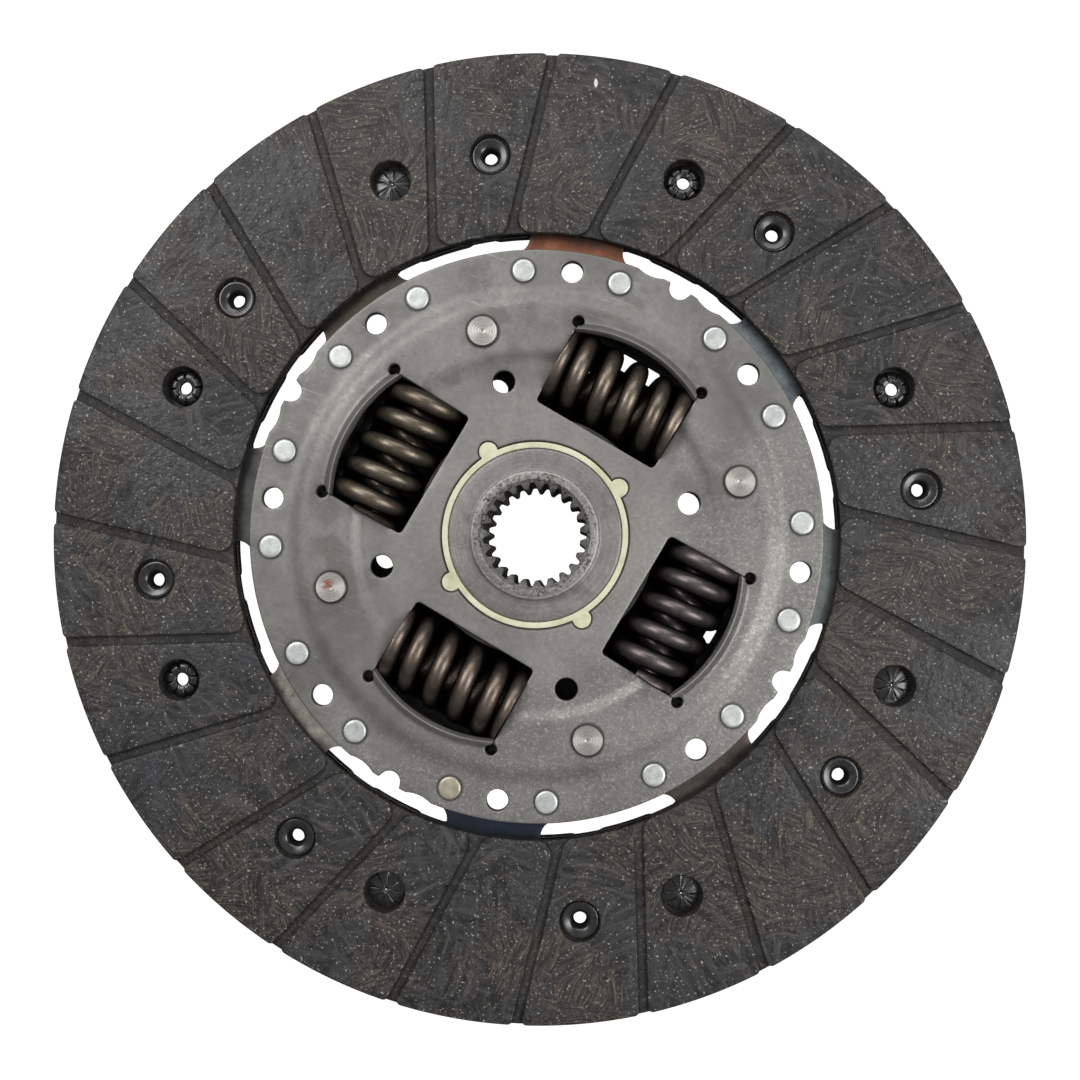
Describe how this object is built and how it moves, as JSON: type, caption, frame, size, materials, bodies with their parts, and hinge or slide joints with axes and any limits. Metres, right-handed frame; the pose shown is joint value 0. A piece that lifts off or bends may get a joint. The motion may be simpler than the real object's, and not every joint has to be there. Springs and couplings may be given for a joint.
{
  "type": "clutch disc",
  "caption": "Dry clutch disc with grooved friction linings riveted to wavy cushion segments, a coil spring torsion damper and a splined hub.",
  "frame": {"origin": "hub axis at the middle plane of the cushion segments, midway between the two friction faces", "axes": "+Z along the hub axis towards the side with the stop pin heads and the short end of the hub; +X and +Y in the plane of the disc"},
  "size_m": [0.24, 0.24, 0.0289],
  "materials": {
    "plate_steel": "satin phosphated, stained",
    "hub_steel": "satin grey forged and machined",
    "bush_plastic": "pale yellow moulded",
    "washer_plastic": "moulded",
    "washer_steel": "plain",
    "spring_steel": "blued",
    "pin_steel": "turned",
    "zinc_steel": "bright zinc",
    "rivet_steel": "dark burnished",
    "friction_lining": "woven fibre composite",
    "segment_steel": "heat tinted",
    "coil_steel": "bronze brown tempered"
  },
  "bodies": {
    "disc": {"disc_plate": "plate_steel", "retainer_plate": "plate_steel", "front_bush": "bush_plastic", "friction_washer": "washer_plastic", "thrust_washer": "washer_steel", "belleville_spring": "spring_steel", "stop_pins": "pin_steel", "cushion_rivets": "zinc_steel", "facing_rivets_front": "rivet_steel", "facing_rivets_rear": "rivet_steel", "facing_front": "friction_lining", "facing_rear": "friction_lining", "cushion_segment_1": "segment_steel", "cushion_segment_2": "segment_steel", "cushion_segment_3": "segment_steel", "cushion_segment_4": "segment_steel", "cushion_segment_5": "segment_steel", "cushion_segment_6": "segment_steel", "cushion_segment_7": "segment_steel", "cushion_segment_8": "segment_steel"},
    "hub": {"hub": "hub_steel"},
    "coils": {"damper_spring_1": "coil_steel", "damper_spring_2": "coil_steel", "damper_spring_3": "coil_steel", "damper_spring_4": "coil_steel"}
  },
  "joints": [
    {"name": "hub_turn", "type": "hinge", "parent": "disc", "child": "hub", "pos_m": [0, 0, 0], "axis": [0, 0, 1], "range_deg": [-9, 9], "stiffness_Nm_per_rad": 200, "deforming": ["damper_spring_1", "damper_spring_2", "damper_spring_3", "damper_spring_4"]},
    {"name": "coils_follow", "type": "hinge", "parent": "disc", "child": "coils", "pos_m": [0, 0, 0], "axis": [0, 0, 1], "range_deg": [-4.5, 4.5]}
  ],
  "couplings": [
    {"joint": "coils_follow", "follows": "hub_turn", "ratio": 0.5}
  ]
}
